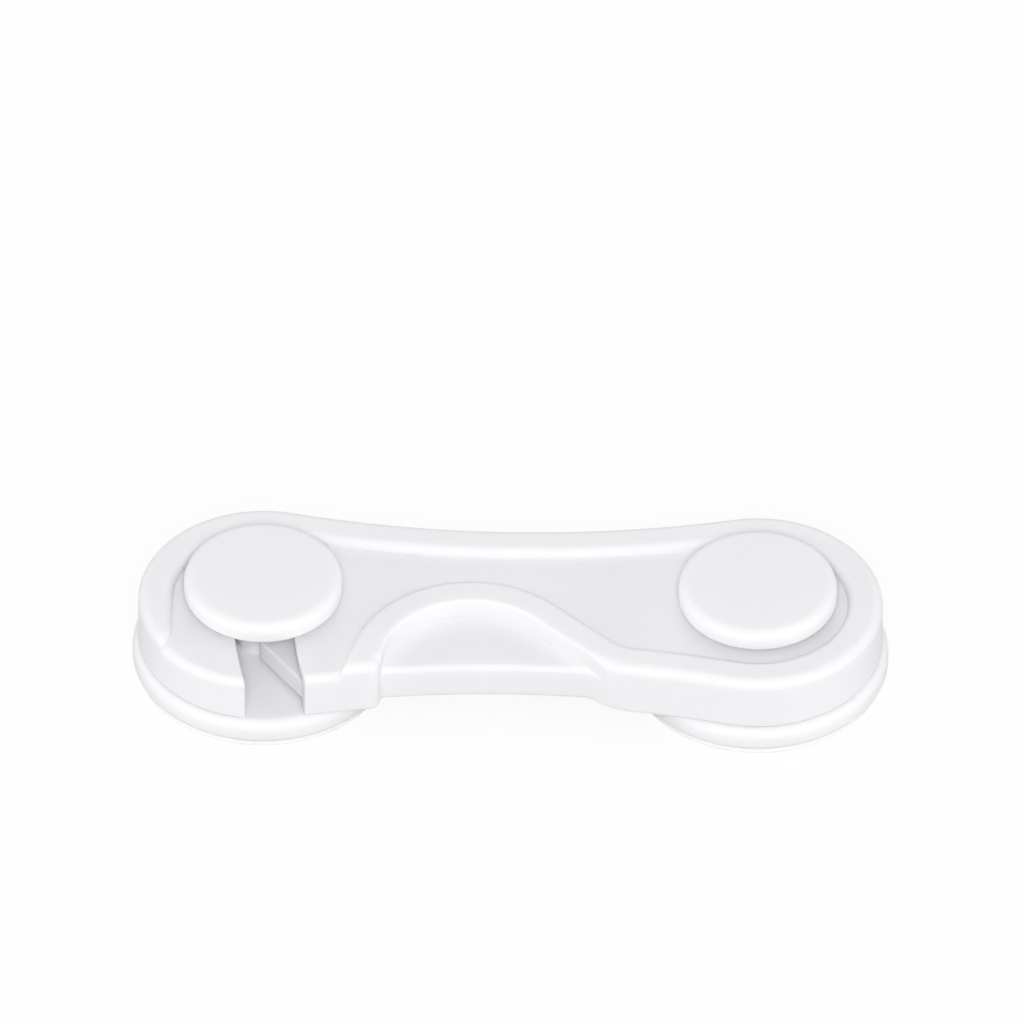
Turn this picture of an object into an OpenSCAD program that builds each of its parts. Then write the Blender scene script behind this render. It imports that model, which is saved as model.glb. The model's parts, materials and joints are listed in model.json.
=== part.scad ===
// Cabinet safety lock: a bone-shaped lever turns on one stuck-on post and latches on a second one.
// The origin lies midway between the posts, on the plane that the adhesive pads are stuck to.

/* [Layout] */
// Distance between the pivot post and the catch post
post_spacing = 66.5; // [62:0.5:80]

/* [Adhesive] */
// Thickness of the paper release liner
liner_t = 0.1; // [0.05:0.05:0.3]
// Thickness of the foam pad
foam_t = 0.9; // [0.5:0.1:2]
// Diameter of the pad and its liner
pad_d = 34; // [28:0.5:34.5]

/* [Base] */
// Diameter of a base disc
disc_d = 35.2; // [35:0.2:40]
// Thickness of a base disc
disc_t = 3.2; // [2.4:0.1:5]
// Rounding of the disc's upper edge
disc_top_r = 1.5; // [0.5:0.1:2]
// Rounding of the disc's lower edge
disc_low_r = 0.6; // [0.2:0.1:1]
// Diameter of a post
post_d = 7.4; // [6:0.1:8]
// Diameter of the hole down a post
post_bore_d = 4.2; // [3:0.1:4.6]

/* [Knob] */
// Diameter of a knob
knob_d = 21.3; // [16:0.1:23]
// Thickness of a knob
knob_t = 3.1; // [2.6:0.1:5]
// Rounding of the knob's upper edge
knob_top_r = 1.3; // [0.5:0.1:1.6]
// Rounding of the knob's lower edge
knob_low_r = 0.5; // [0.2:0.1:0.8]
// Height by which the knob's top is crowned
knob_crown = 0.15; // [0.05:0.05:0.4]
// Width of the solid ring round the knob's edge, outside the moulded groove
knob_skirt = 2.2; // [1.8:0.1:3]
// Depth of the moulded groove under the knob
knob_groove = 1.3; // [0.5:0.1:1.4]
// Length of the stem that is pressed into the post
stem_l = 6.5; // [4:0.1:8]

/* [Lever] */
// Height of the lever
lever_h = 7.9; // [7:0.1:10]
// Radius of the lever's round ends
lobe_r = 16.8; // [15.5:0.1:17.4]
// Half of the lever's width at its middle
waist_half_w = 13.3; // [12:0.1:14.5]
// Thickness of the lever's side wall
wall_t = 1.9; // [1.4:0.1:2.2]
// Thickness of the lever's top plate
plate_t = 1.4; // [1.1:0.1:1.6]
// Width of the raised rim along the outline
rim_w = 4.7; // [3.5:0.1:5]
// Depth of the field inside the rim
field_depth = 1.3; // [0.8:0.1:1.5]
// Thickness of the tube round the pivot bore
hub_wall = 1.7; // [1.2:0.1:2.2]

/* [Thumb recess] */
// Radius of the arched edge of the recess
arch_r = 12.2; // [10:0.1:13]
// How far the middle of the arch lies towards the catch
arch_offset = 5; // [3:0.1:7]
// How far the centre of the arch lies in front of the posts
arch_front = 13.4; // [12.5:0.1:14.5]
// Angle at which the arch runs out into a straight tail
arch_tail_angle = 48; // [45:1:52]
// Width of the raised rim round the recess
arch_rim_w = 4.3; // [3.5:0.1:4.6]
// Angle at which the rim round the recess runs out to the front, on the catch side
arch_lead_angle = 165; // [160:1:175]
// Radius in the corner of the hollow between the front wall and the recess, on the catch side
hollow_corner_r = 1.8; // [1:0.1:3]
// Radius of the soft curve between both rims, on the pivot side
rim_blend_r = 6; // [3:0.5:9]
// Depth of the recess below the rim
recess_depth = 2.8; // [2.2:0.1:3.2]
// How far the front wall steps in at the waist
waist_step = 2.0; // [1.6:0.1:2.2]
// How far the step on the catch side lies from the middle
step_catch = 17.3; // [16.8:0.1:18.5]
// How far the soft step on the pivot side starts from the middle
step_pivot = 9.8; // [9:0.1:11]
// Radius of the outer corner of the step on the catch side
corner_r = 1.5; // [1.45:0.05:1.8]
// Radius of the inner corner of the step on the catch side
fillet_r = 0.7; // [0.6:0.05:0.9]
// Radius of the hollow curve that starts the soft step on the pivot side
soft_in_r = 2.5; // [1.5:0.1:4]
// Radius of the round curve that ends the soft step
soft_out_r = 12; // [9:0.5:15]

/* [Slot and latch] */
// Clearance on each side between the catch post and the slot
slot_clear = 0.3; // [0.2:0.05:0.6]
// Thickness of the walls that guide the catch post
guide_t = 1.3; // [1:0.1:1.5]
// Thickness of the latch finger at its root
finger_t = 1.2; // [0.9:0.1:1.4]
// Height of the latch finger
finger_h = 3.1; // [2.8:0.1:4]
// How far the finger's underside lies above the lever's
finger_lift = 0.45; // [0.3:0.05:0.6]
// Angle of the finger's slanting face from the line across the lever
finger_lean = 37; // [35:0.5:39]
// Angle by which the finger widens from its root to its end
finger_wedge = 26; // [20:1:28]
// How far the finger's root lies inside the slot's edge
finger_root_in = 2.5; // [2.3:0.05:2.7]

/* [Clearances] */
// Gap between the base discs and the lever
lever_gap = 0.3; // [0.2:0.05:0.6]
// Gap between the lever's rim and the knobs
knob_gap = 0.3; // [0.2:0.05:0.6]
// Running clearance round the pivot post
run_clear = 0.08; // [0.05:0.01:0.1]
// Clearance round a stem in its post
stem_clear = 0.05; // [0.02:0.01:0.1]
// Gap round the bending finger
finger_gap = 0.35; // [0.3:0.05:0.5]

/* [Hidden] */

// How far every cut runs past the face that it starts from
over = 0.5;
// Smoothness of round pieces, and the longest steps along the arcs of an outline
round_fn = 96;
arc_step_angle = 6;
arc_step_len = 4;

// Heights, from the stuck plane up
foam_z = liner_t;
disc_z = foam_z + foam_t;
disc_top = disc_z + disc_t;
lever_z = disc_top + lever_gap;
lever_top = lever_z + lever_h;
field_z = lever_top - field_depth;
ceiling_z = field_z - plate_t;
recess_z = lever_top - recess_depth;
recess_under = recess_z - plate_t;
knob_z = lever_top + knob_gap;

// Places of the posts
half_spacing = post_spacing / 2;
pivot_at = [half_spacing, 0];
catch_at = [-half_spacing, 0];

// The long sides are arcs that touch both round ends
side_r = (pow(half_spacing, 2) + pow(waist_half_w, 2) - pow(lobe_r, 2)) / (2 * (lobe_r - waist_half_w));
side_y = waist_half_w + side_r;
side_spread = atan(half_spacing / side_y);
front_c = [0, -side_y];
back_c = [0, side_y];

// The stepped-in waist on the front side, as arcs about the front side's centre
waist_r = side_r + waist_step;
corner_at_r = side_r + corner_r;
fillet_at_r = waist_r - fillet_r;
soft_in_at_r = waist_r - soft_in_r;
soft_out_at_r = side_r + soft_out_r;
corner_a = 90 + asin((step_catch + corner_r) / corner_at_r);
fillet_a = corner_a - turn_between(fillet_at_r, corner_at_r, fillet_r + corner_r);
soft_in_a = 90 - asin(step_pivot / soft_in_at_r);
soft_out_a = soft_in_a - turn_between(soft_in_at_r, soft_out_at_r, soft_in_r + soft_out_r);
corner_c = polar(front_c, corner_at_r, corner_a);
fillet_c = polar(front_c, fillet_at_r, fillet_a);
soft_in_c = polar(front_c, soft_in_at_r, soft_in_a);
soft_out_c = polar(front_c, soft_out_at_r, soft_out_a);

// The thumb recess: an arch with a straight tail towards the pivot
arch_c = [-arch_offset, -arch_front];
tail_share = 1.2;
tail_l = tail_share * arch_r;

// The slot and its guide walls
slot_r = post_d / 2 + slot_clear;
slot_in_r = post_spacing - slot_r;
slot_out_r = post_spacing + slot_r;
slot_sweep = 20;
seat_start = 15;

// The latch finger: its root against the front wall, its round end clear of the post as it bends
knuckle_share = 0.75;
knuckle_r = knuckle_share * finger_t;
root_groove = 0.05;
root_x = half_spacing - slot_in_r + finger_root_in;
root_seat_share = 0.65;
root_y = sqrt(pow(side_r + wall_t, 2) - pow(root_x, 2)) - side_y + root_seat_share * knuckle_r;
root_at = [root_x, root_y];
finger_dir = 90 + finger_lean;
finger_r = norm(catch_at - root_at) - post_d / 2 - finger_gap;
finger_z = lever_z + finger_lift;
groove_top = finger_z + finger_h + finger_gap / 2;

// The rib from the recess to the seat, and the two small ribs on the back wall
rib_knee_shares = [-0.45, 0.09];
rib_knee_at = half_spacing * rib_knee_shares;
rib_knee_share = 1.3;
rib_knee_d = rib_knee_share * guide_t;
rib_start_angle = 113;
rib_end_angle = 40;
back_rib_w = 1.0;
back_rib_h = 3.0;
back_rib_d = 0.7;
back_rib_shares = [-0.135, 0.205];

// Angle by which two points at the given radii lie apart when their distance is known
function turn_between(r_a, r_b, apart) = acos((r_a * r_a + r_b * r_b - apart * apart) / (2 * r_a * r_b));

// Point at a radius and an angle about a centre
function polar(c, r, a) = [c.x + r * cos(a), c.y + r * sin(a)];

// Direction from one point to another, as an angle of at least the given one
function heading(from, to, least) =
    let (a = atan2(to.y - from.y, to.x - from.x))
    a + 360 * ceil((least - a) / 360);

// The outline as arcs: centre, radius, first angle, last angle, and 1 where it bulges or -1 where hollow
function outline_arcs() = [
    [pivot_at, lobe_r, -90 - side_spread, 90 + side_spread, 1],
    [back_c, side_r, -90 + side_spread, -90 - side_spread, -1],
    [catch_at, lobe_r, 90 - side_spread, 270 + side_spread, 1],
    [front_c, side_r, 90 + side_spread, corner_a, -1],
    [corner_c, corner_r, corner_a + 180, heading(corner_c, fillet_c, corner_a + 180), 1],
    [fillet_c, fillet_r, heading(fillet_c, corner_c, fillet_a), fillet_a, -1],
    [front_c, waist_r, fillet_a, soft_in_a, -1],
    [soft_in_c, soft_in_r, soft_in_a, heading(soft_in_c, soft_out_c, 0), -1],
    [soft_out_c, soft_out_r, heading(soft_out_c, soft_in_c, 180), soft_out_a + 180, 1],
    [front_c, side_r, soft_out_a, 90 - side_spread, -1]
];

// The outline without the stepped-in waist
function bone_arcs() = [
    [pivot_at, lobe_r, -90 - side_spread, 90 + side_spread, 1],
    [back_c, side_r, -90 + side_spread, -90 - side_spread, -1],
    [catch_at, lobe_r, 90 - side_spread, 270 + side_spread, 1],
    [front_c, side_r, 90 + side_spread, 90 - side_spread, -1]
];

// Where two circles cross, on the side towards the catch
function catch_cross(c_a, r_a, c_b, r_b) =
    let (
        run = c_b - c_a,
        apart = norm(run),
        along = (apart * apart + r_a * r_a - r_b * r_b) / (2 * apart),
        aside = sqrt(r_a * r_a - along * along)
    )
    c_a + (along * run + aside * [-run.y, run.x]) / apart;

// The pivot end and the back side of what lies inside a band along the sides, as arcs
function back_arcs(band) = [
    [pivot_at, lobe_r - band, -90 - side_spread, 90 + side_spread, 1],
    [back_c, side_r + band, -90 + side_spread, -90 - side_spread, -1]
];

// The tail of a band round the recess, a soft curve and the front side up to the pivot end, as arcs.
// The straight tail runs from a point, written as an arc of no radius.
function tail_arcs(side, arch) =
    let (
        out = [cos(arch_tail_angle), sin(arch_tail_angle)],
        way = [out.y, -out.x],
        from = arch_c + (arch + rim_blend_r) * out - front_c,
        ahead = from * way,
        reach = -ahead - sqrt(ahead * ahead - from * from + pow(side + rim_blend_r, 2)),
        blend = front_c + from + reach * way,
        blend_start = arch_tail_angle + 180
    )
    [
        [polar(arch_c, arch, arch_tail_angle), 0, 0, arc_step_angle, 1],
        [blend, rim_blend_r, blend_start, heading(blend, front_c, blend_start), 1],
        [front_c, side, heading(front_c, blend, 0), 90 - side_spread, -1]
    ];

// The sunk field: inside the rims, and open to the front on both sides of the slot
function field_arcs() =
    let (
        lobe = lobe_r - rim_w,
        arch = arch_r + arch_rim_w,
        clear_y = -lobe_r - over,
        lead_at = polar(arch_c, arch, arch_lead_angle),
        lead_l = (clear_y - lead_at.y) / cos(arch_lead_angle)
    )
    concat(
        back_arcs(rim_w),
        [
            [catch_at, lobe, 90 - side_spread, 180, 1],
            [catch_at - [lobe, 0], 0, 0, arc_step_angle, 1],
            [[catch_at.x - lobe, clear_y], 0, 0, arc_step_angle, 1],
            [polar(lead_at, lead_l, arch_lead_angle + 90), 0, 0, arc_step_angle, 1],
            [arch_c, arch, arch_lead_angle, arch_tail_angle, -1]
        ],
        tail_arcs(side_r + rim_w, arch)
    );

// The upper part of the hollow: inside the side walls and clear of the plate under the recess
function upper_hollow_arcs() =
    let (
        side = side_r + wall_t,
        arch = arch_r + plate_t,
        corner = catch_cross(front_c, side + hollow_corner_r, arch_c, arch + hollow_corner_r)
    )
    concat(
        back_arcs(wall_t),
        [
            [catch_at, lobe_r - wall_t, 90 - side_spread, 270 + side_spread, 1],
            [front_c, side, 90 + side_spread, heading(front_c, corner, 0), -1],
            [corner, hollow_corner_r, heading(corner, front_c, -180), heading(corner, arch_c, -180), 1],
            [arch_c, arch, heading(arch_c, corner, 0), arch_tail_angle, -1]
        ],
        tail_arcs(side, arch)
    );

// The wall round the far side of the catch post and along the slot, a little inside the slot at first
function guide_arcs() = [
    [catch_at, slot_r + guide_t, seat_start, 180, 1],
    [pivot_at, slot_out_r + guide_t, 180, 180 + slot_sweep, 1],
    [pivot_at, slot_out_r - slot_clear, 180 + slot_sweep, 180, -1],
    [catch_at, slot_r - slot_clear, 180, seat_start, -1]
];

// Points along a closed run of arcs, moved inwards by the inset
function arc_points(arcs, inset) = [
    for (arc = arcs)
        let (
            sweep = arc[3] - arc[2],
            len = abs(sweep) * PI / 180 * arc[1],
            n = ceil(max(abs(sweep) / arc_step_angle, len / arc_step_len)),
            r = arc[1] - arc[4] * inset
        )
        for (k = [0 : n - 1])
            polar(arc[0], r, arc[2] + sweep * k / n)
];

// The lever's full height over its outline
module outline_prism() {
    translate([0, 0, lever_z])
        linear_extrude(lever_h)
            polygon(arc_points(outline_arcs(), 0));
}

// The thumb recess in plan, open to the front
module recess_area() {
    tangent_at = polar(arch_c, arch_r, arch_tail_angle);
    tail_at = polar(tangent_at, tail_l, arch_tail_angle - 90);
    arch = [arch_c, arch_r, arch_tail_angle, 270, 1];
    polygon(concat(arc_points([arch], 0), [tail_at]));
}

// The hollow under the lever in plan, inside the side walls
module hollow_area() {
    difference() {
        polygon(arc_points(bone_arcs(), wall_t));
        intersection() {
            translate(front_c)
                circle(r = waist_r + wall_t, $fn = 8 * round_fn);
            translate([-step_catch - wall_t, -lobe_r])
                square([step_catch + wall_t + (soft_in_c.x + soft_out_c.x) / 2, 2 * lobe_r]);
        }
    }
}

// The path of the catch post through the lever, as an arc about the pivot
module slot_arc(z, h) {
    translate([pivot_at.x, pivot_at.y, z])
        rotate(180)
            rotate_extrude(angle = slot_sweep, $fn = 4 * round_fn)
                translate([slot_in_r, 0])
                    square([slot_out_r - slot_in_r, h]);
}

// A straight wall under the ceiling, from one point in plan to another
module plan_wall(from, to, thick, z, h) {
    run = to - from;
    translate([from.x, from.y, z])
        rotate(atan2(run.y, run.x))
            translate([0, -thick / 2])
                cube([norm(run), thick, h]);
}

// The walls under the top plate that guide the catch post, and the rib that ties them to the recess
module guide_walls() {
    wall_h = ceiling_z - lever_z + plate_t / 2;
    translate([0, 0, lever_z])
        linear_extrude(wall_h)
            intersection() {
                polygon(arc_points(guide_arcs(), 0));
                polygon(arc_points(bone_arcs(), wall_t / 2));
            }
    rib_start = polar(arch_c, arch_r + plate_t, rib_start_angle);
    rib_end = polar(catch_at, slot_r + guide_t / 2, rib_end_angle);
    plan_wall(rib_start, rib_knee_at, guide_t, lever_z, wall_h);
    plan_wall(rib_end, rib_knee_at, guide_t, lever_z, wall_h);
    translate([rib_knee_at.x, rib_knee_at.y, lever_z])
        cylinder(h = wall_h, d = rib_knee_d, $fn = round_fn);
}

// Two short ribs on the inside of the back wall, next to the ceiling
module back_ribs() {
    for (share = back_rib_shares) {
        rib_x = share * half_spacing;
        wall_y = side_y - sqrt(pow(side_r + wall_t, 2) - pow(rib_x, 2));
        translate([rib_x - back_rib_w / 2, wall_y - back_rib_d, ceiling_z - back_rib_h])
            cube([back_rib_w, back_rib_d + wall_t / 2, back_rib_h + plate_t / 2]);
    }
}

// The lever: a hollow moulding with a rim, a sunk field, a thumb recess, a pivot bore and a catch slot
module lever_body() {
    color("white")
        difference() {
            union() {
                difference() {
                    outline_prism();
                    translate([0, 0, recess_z])
                        linear_extrude(recess_depth + over)
                            recess_area();
                    translate([0, 0, field_z])
                        linear_extrude(field_depth + over)
                            polygon(arc_points(field_arcs(), 0));
                    translate([0, 0, lever_z - over])
                        linear_extrude(recess_under - lever_z + over)
                            hollow_area();
                    translate([0, 0, recess_under - over])
                        linear_extrude(ceiling_z - recess_under + over)
                            polygon(arc_points(upper_hollow_arcs(), 0));
                }
                translate([pivot_at.x, pivot_at.y, lever_z])
                    cylinder(h = lever_h, r = post_d / 2 + run_clear + hub_wall, $fn = round_fn);
                guide_walls();
                back_ribs();
            }
            translate([pivot_at.x, pivot_at.y, lever_z - over])
                cylinder(h = lever_h + 2 * over, r = post_d / 2 + run_clear, $fn = round_fn);
            translate([catch_at.x, catch_at.y, lever_z - over])
                cylinder(h = lever_h + 2 * over, r = slot_r, $fn = round_fn);
            slot_arc(lever_z - over, lever_h + 2 * over);
            translate([root_at.x, root_at.y, lever_z - over])
                cylinder(h = groove_top - lever_z + over, r = knuckle_r + root_groove, $fn = round_fn);
        }
}

// The bending finger: a round root and a wedge with a slanting face, round about the root at its end
module latch_finger() {
    side_turn = asin(finger_t / 2 / finger_r);
    end_arc = [[0, 0], finger_r, -finger_wedge - side_turn, side_turn, 1];
    last_at = polar([0, 0], finger_r, side_turn);
    face_root_at = polar([0, 0], finger_t / 2, 90);
    back_root_at = polar([0, 0], finger_t / 2, -finger_wedge - 90);
    color("white")
        translate([root_at.x, root_at.y, finger_z])
            rotate(finger_dir) {
                cylinder(h = finger_h, r = knuckle_r, $fn = round_fn);
                linear_extrude(finger_h)
                    polygon(concat(arc_points([end_arc], 0), [last_at, face_root_at, back_root_at]));
            }
}

// A base disc with a rounded edge and a hollow post
module base(at) {
    bore_floor = knob_z - stem_l - foam_t;
    disc_r = disc_d / 2;
    low_c = [disc_r - disc_low_r, disc_z + disc_low_r];
    top_c = [disc_r - disc_top_r, disc_top - disc_top_r];
    translate([at.x, at.y])
        difference() {
            union() {
                rotate_extrude($fn = round_fn) {
                    translate([0, disc_z])
                        square([low_c.x, top_c.y - disc_z]);
                    translate([0, low_c.y])
                        square([disc_r, top_c.y - low_c.y]);
                    translate([0, low_c.y])
                        square([top_c.x, disc_top - low_c.y]);
                    translate(low_c)
                        circle(r = disc_low_r, $fn = round_fn);
                    translate(top_c)
                        circle(r = disc_top_r, $fn = round_fn);
                }
                translate([0, 0, disc_z])
                    cylinder(h = knob_z - disc_z, d = post_d, $fn = round_fn);
            }
            translate([0, 0, bore_floor])
                cylinder(h = knob_z - bore_floor + over, d = post_bore_d, $fn = round_fn);
        }
}

module pivot_base() {
    color("white")
        base(pivot_at);
}

module catch_base() {
    color("white")
        base(catch_at);
}

// A round cap with a rounded edge, a moulded groove beneath and a stem that goes down the post
module knob(at) {
    knob_r = knob_d / 2;
    top_z = knob_z + knob_t - knob_crown;
    low_c = [knob_r - knob_low_r, knob_z + knob_low_r];
    top_c = [knob_r - knob_top_r, top_z - knob_top_r];
    crown_r = (pow(top_c.x, 2) + pow(knob_crown, 2)) / (2 * knob_crown);
    stem_r = post_bore_d / 2 - stem_clear;
    groove_r = post_d / 2 + knob_skirt / 2;
    translate([at.x, at.y]) {
        rotate_extrude($fn = round_fn)
            difference() {
                union() {
                    translate([0, knob_z])
                        square([low_c.x, top_c.y - knob_z]);
                    translate([0, low_c.y])
                        square([knob_r, top_c.y - low_c.y]);
                    translate([0, low_c.y])
                        square([top_c.x, top_z - low_c.y]);
                    translate(low_c)
                        circle(r = knob_low_r, $fn = round_fn);
                    translate(top_c)
                        circle(r = knob_top_r, $fn = round_fn);
                    intersection() {
                        translate([0, top_z + knob_crown - crown_r])
                            circle(r = crown_r, $fn = 8 * round_fn);
                        translate([0, top_c.y])
                            square([top_c.x, knob_top_r + knob_crown]);
                    }
                }
                translate([groove_r, knob_z - over])
                    square([knob_r - knob_skirt - groove_r, knob_groove + over]);
            }
        translate([0, 0, knob_z - stem_l])
            cylinder(h = stem_l + knob_groove, r = stem_r, $fn = round_fn);
    }
}

module pivot_knob() {
    color("white")
        knob(pivot_at);
}

module catch_knob() {
    color("white")
        knob(catch_at);
}

// A round layer of the adhesive
module layer(at, z, thick) {
    translate([at.x, at.y, z])
        cylinder(h = thick, d = pad_d, $fn = round_fn);
}

module pivot_pad() {
    color("whitesmoke")
        layer(pivot_at, foam_z, foam_t);
}

module catch_pad() {
    color("whitesmoke")
        layer(catch_at, foam_z, foam_t);
}

module pivot_liner() {
    color("ivory")
        layer(pivot_at, 0, liner_t);
}

module catch_liner() {
    color("ivory")
        layer(catch_at, 0, liner_t);
}

lever_body();
latch_finger();
pivot_base();
catch_base();
pivot_knob();
catch_knob();
pivot_pad();
catch_pad();
pivot_liner();
catch_liner();
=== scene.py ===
"""Looks of a cabinet safety lock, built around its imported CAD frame.

A bone-shaped lever turns on one post and latches on a second one. Shapes are worked out in
millimetres as numpy arrays, as outlines carried through edge profiles and as revolved profiles,
and put into the frame's metres.
"""

from __future__ import annotations

import json
import logging
import math
from dataclasses import dataclass
from enum import Enum
from typing import Any, Sequence, Union

import bmesh
import bpy
import numpy as np
from mathutils import Matrix, Vector

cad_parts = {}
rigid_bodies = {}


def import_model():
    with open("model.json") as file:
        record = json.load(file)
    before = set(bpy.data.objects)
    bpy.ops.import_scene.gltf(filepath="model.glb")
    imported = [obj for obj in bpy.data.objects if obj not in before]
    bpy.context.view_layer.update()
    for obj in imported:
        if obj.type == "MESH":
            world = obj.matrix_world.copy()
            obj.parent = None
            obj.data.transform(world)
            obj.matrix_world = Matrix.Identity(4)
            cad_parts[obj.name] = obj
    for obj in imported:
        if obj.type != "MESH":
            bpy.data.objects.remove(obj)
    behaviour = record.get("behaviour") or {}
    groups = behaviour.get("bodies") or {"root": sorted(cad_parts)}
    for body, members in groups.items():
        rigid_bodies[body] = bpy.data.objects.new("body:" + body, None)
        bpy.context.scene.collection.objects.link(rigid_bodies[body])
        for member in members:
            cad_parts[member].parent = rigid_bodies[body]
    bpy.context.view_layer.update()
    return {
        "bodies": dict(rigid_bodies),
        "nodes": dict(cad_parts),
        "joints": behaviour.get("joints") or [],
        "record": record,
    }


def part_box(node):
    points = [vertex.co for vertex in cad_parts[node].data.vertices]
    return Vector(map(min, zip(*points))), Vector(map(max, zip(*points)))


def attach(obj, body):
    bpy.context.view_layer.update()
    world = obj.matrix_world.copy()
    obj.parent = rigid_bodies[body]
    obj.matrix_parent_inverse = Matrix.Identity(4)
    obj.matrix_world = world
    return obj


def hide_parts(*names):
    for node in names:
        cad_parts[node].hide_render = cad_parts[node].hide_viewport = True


LOG = logging.getLogger("cabinet_lock")

# A millimetre in metres.
MM = 0.001
# Longest step and largest turn between two points of an outline.
STEP_LENGTH = 0.8
STEP_TURN = math.radians(5.0)
# Steps of a rounded edge and of a full revolution.
EDGE_STEPS = 8
ROUND_STEPS = 144
# How far a cut runs on past the face that it opens.
OVERRUN = 1.0
# Vertices nearer than this become one, in metres.
MERGE_DISTANCE = MM / 2000.0
# Edges that turn more than this stay sharp, and large faces rule the normals by this weight.
SHARP_ANGLE = math.radians(34.0)
FACE_AREA_WEIGHT = 100
# Sockets of the Mix node that carry colours.
MIX_FACTOR, MIX_FIRST, MIX_SECOND, MIX_RESULT = 0, 6, 7, 2

Colour = tuple[float, float, float, float]
Point = tuple[float, float]
SocketKey = Union[str, int]


class Body(Enum):
    """The bodies of the frame that pieces ride on."""

    BASES = "bases"
    LEVER = "lever"
    FINGER = "finger"


class Slot(Enum):
    """The record's material slots."""

    PLASTIC = "white_plastic"
    FOAM = "foam"
    LINER = "liner_paper"


class End(Enum):
    """The two ends of the lock, by the names that their CAD nodes start with."""

    PIVOT = "pivot"
    CATCH = "catch"


class Kind(Enum):
    """The pieces of an end of the lock, by the names that their CAD nodes end with."""

    DISC = "base"
    CAP = "knob"
    FOAM = "pad"
    RELEASE_PAPER = "liner"

    @property
    def slot(self) -> Slot:
        """The material slot of this kind of piece."""
        return {Kind.FOAM: Slot.FOAM, Kind.RELEASE_PAPER: Slot.LINER}.get(self, Slot.PLASTIC)


class Join(Enum):
    """How a solid is combined with the lever's body."""

    CUT = "DIFFERENCE"
    ADD = "UNION"


class Arithmetic(Enum):
    """What a Math node does with its values."""

    MULTIPLY = "MULTIPLY"
    SINE = "SINE"
    IS_MORE = "GREATER_THAN"


Finishes = dict[Slot, bpy.types.Material]


def as_point(place: np.ndarray) -> Point:
    """Plain pair of numbers from an array."""
    return float(place[0]), float(place[1])


def polar(centre: Point, radius: float, degrees: float) -> Point:
    """Point at a radius and an angle about a centre."""
    angle = math.radians(degrees)
    return centre[0] + radius * math.cos(angle), centre[1] + radius * math.sin(angle)


def bearing(start: Point, end: Point, least: float = -180.0) -> float:
    """Direction from one point to another.

    Args:
        start: The point that is looked from.
        end: The point that is looked at.
        least: The smallest angle to give back, in degrees.

    Returns:
        The angle in degrees, from least up to a full turn more.
    """
    angle = math.degrees(math.atan2(end[1] - start[1], end[0] - start[0]))
    return angle + 360.0 * math.ceil((least - angle) / 360.0)


def circles_meet(a: Point, a_radius: float, b: Point, b_radius: float, left: bool) -> Point:
    """Where two circles cross.

    The crossing lies along the line of centres at (d2 + ra2 - rb2) / 2d, and beside it by the
    rest of ra.

    Args:
        a: Centre of the first circle.
        a_radius: Its radius.
        b: Centre of the second circle.
        b_radius: Its radius.
        left: True for the crossing with the smaller X.

    Returns:
        The crossing point.
    """
    start = np.array(a)
    line = np.array(b) - start
    apart = float(np.hypot(*line))
    along = (apart**2 + a_radius**2 - b_radius**2) / (2.0 * apart)
    aside = math.sqrt(a_radius**2 - along**2)
    unit = line / apart
    across = np.array((-unit[1], unit[0])) * aside
    found = (start + unit * along + across, start + unit * along - across)
    by_x = sorted(found, key=lambda place: place[0])
    return as_point(by_x[0] if left else by_x[1])


def turn_between(a_radius: float, b_radius: float, apart: float) -> float:
    """Angle in degrees between points at known radii and distance, by the law of cosines."""
    cosine = (a_radius**2 + b_radius**2 - apart**2) / (2.0 * a_radius * b_radius)
    return math.degrees(math.acos(cosine))


def edge_normals(ways: np.ndarray) -> np.ndarray:
    """Unit normals to the right of the ways between points."""
    unit = ways / np.hypot(ways[:, 0], ways[:, 1])[:, None]
    return np.stack((unit[:, 1], -unit[:, 0]), axis=1)


def mitres(before: np.ndarray, after: np.ndarray) -> np.ndarray:
    """Moves of corners for one unit outwards, (n1 + n2) / (1 + n1 n2) of their edges' normals."""
    return (before + after) / (1.0 + np.sum(before * after, axis=1))[:, None]


@dataclass(frozen=True)
class Arc:
    """Round stretch of an outline, walked from one angle to the other, in degrees."""

    centre: Point
    radius: float
    start: float
    end: float

    def points(self) -> np.ndarray:
        """Points at even angles, centre + radius (cos, sin), without the last one.

        Returns:
            Array of N x 2 points.
        """
        sweep = math.radians(self.end - self.start)
        by_length = math.ceil(abs(sweep) * self.radius / STEP_LENGTH)
        count = max(by_length, math.ceil(abs(sweep) / STEP_TURN), 1)
        angle = math.radians(self.start) + sweep * np.arange(count) / count
        ring = np.stack((np.cos(angle), np.sin(angle)), axis=1)
        return np.array(self.centre) + self.radius * ring


@dataclass(frozen=True)
class Line:
    """Straight stretch of an outline."""

    start: Point
    end: Point

    def points(self) -> np.ndarray:
        """Points at even distances, start + t (end - start), without the last one.

        Returns:
            Array of N x 2 points.
        """
        first, last = np.array(self.start), np.array(self.end)
        count = max(math.ceil(float(np.hypot(*(last - first))) / STEP_LENGTH), 1)
        return first + (last - first) * (np.arange(count) / count)[:, None]


Run = Union[Arc, Line]


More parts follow.
